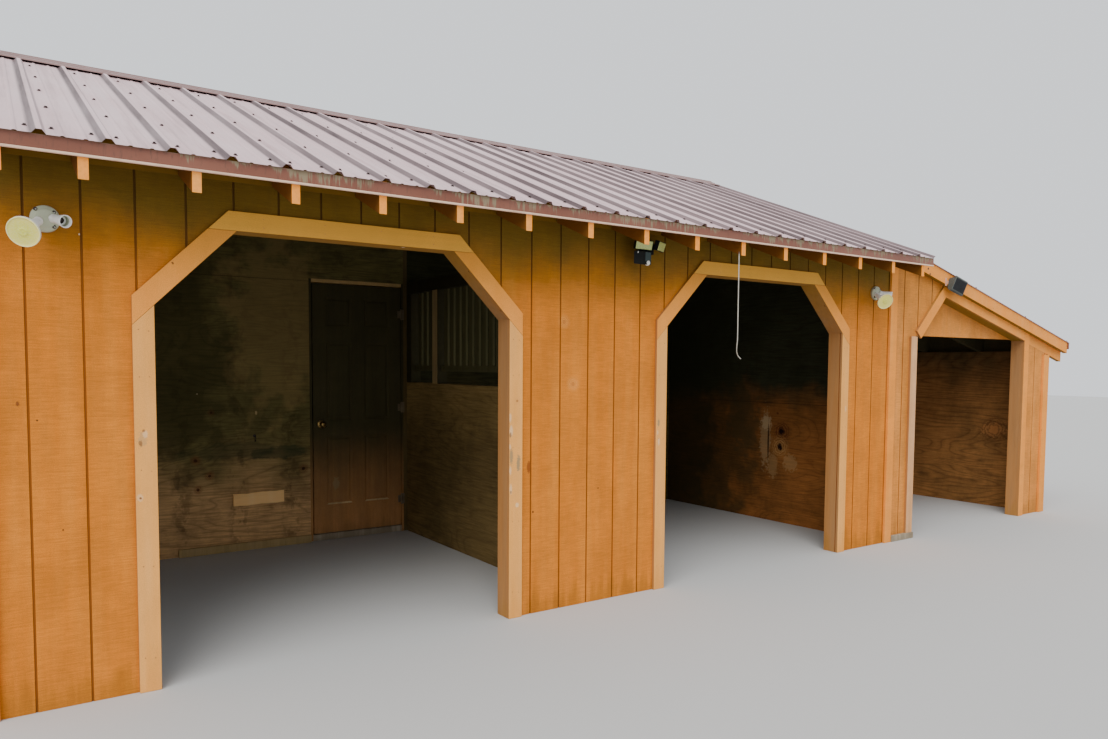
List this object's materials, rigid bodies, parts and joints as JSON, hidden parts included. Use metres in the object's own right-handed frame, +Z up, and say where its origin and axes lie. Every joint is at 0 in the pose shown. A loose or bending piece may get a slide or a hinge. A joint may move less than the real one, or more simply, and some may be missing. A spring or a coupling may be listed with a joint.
{
  "type": "log store",
  "caption": "Timber log store with two arched-corner bays, a ribbed gable roof, a door in the inner wall and an open lean-to on one end",
  "frame": {"origin": "centre of the footprint of the whole building on the ground", "axes": "+X along the front to the right, +Y from the front to the back, +Z up"},
  "size_m": [9.155, 4.86, 3.3258],
  "materials": {
    "siding": "stained orange-tan grooved plywood siding and boards, weathered",
    "lining": "dark stained plywood",
    "framing": "bare sawn softwood, aged",
    "foot_timber": "bleached sawn block",
    "roof_sheet": "ribbed sheet, mauve-taupe, dusty",
    "eave_metal": "brown folded trim with lichen runs",
    "door_paint": "dark brown paint, semi-gloss",
    "knob_metal": "tarnished",
    "hinge_metal": "dull",
    "light_body": "grey, weathered",
    "lamp_glass": "pale yellowed lens",
    "dark_plastic": "black, faded",
    "cord_fabric": "braided off-white"
  },
  "bodies": {
    "building": {"front_wall_piers": "siding", "front_wall_heads": "siding", "back_wall": "siding", "left_end_wall": "siding", "right_end_wall": "siding", "door_wall_left": "lining", "door_wall_right": "lining", "door_wall_head": "lining", "door_side_jambs": "lining", "door_head_jamb": "lining", "door_sill": "lining", "hinge_pins": "hinge_metal", "partition_wall": "lining", "partition_posts": "framing", "partition_top_rail": "framing", "partition_grilles": "framing", "main_rafters": "framing", "ridge_board": "framing", "eave_blocks": "framing", "main_roof_front": "roof_sheet", "main_roof_back": "roof_sheet", "ridge_cap": "roof_sheet", "main_eave_trims": "eave_metal", "lean_front_piers": "siding", "lean_foot_block": "foot_timber", "lean_front_rafter": "siding", "lean_infill_panel": "lining", "lean_side_wall": "siding", "lean_back_wall": "siding", "lean_ledger": "framing", "lean_rafters": "framing", "lean_eave_blocks": "framing", "lean_roof": "roof_sheet", "lean_rake_boards": "siding", "lean_eave_trim": "eave_metal", "jamb_trims": "siding", "chamfer_trims": "siding", "header_trims": "siding", "corner_boards": "siding", "flood_light_plates": "light_body", "flood_bulbs": "lamp_glass", "security_light": "dark_plastic", "solar_light": "dark_plastic", "cord_hook": "hinge_metal", "pull_cord": "cord_fabric"},
    "door": {"door_leaf": "door_paint", "door_knobs": "knob_metal", "hinge_leaves": "hinge_metal"}
  },
  "joints": [
    {"name": "door_hinge", "type": "hinge", "parent": "building", "child": "door", "pos_m": [-1.572, 0.433, 1], "axis": [0, 0, 1], "range_deg": [0, 85]}
  ]
}
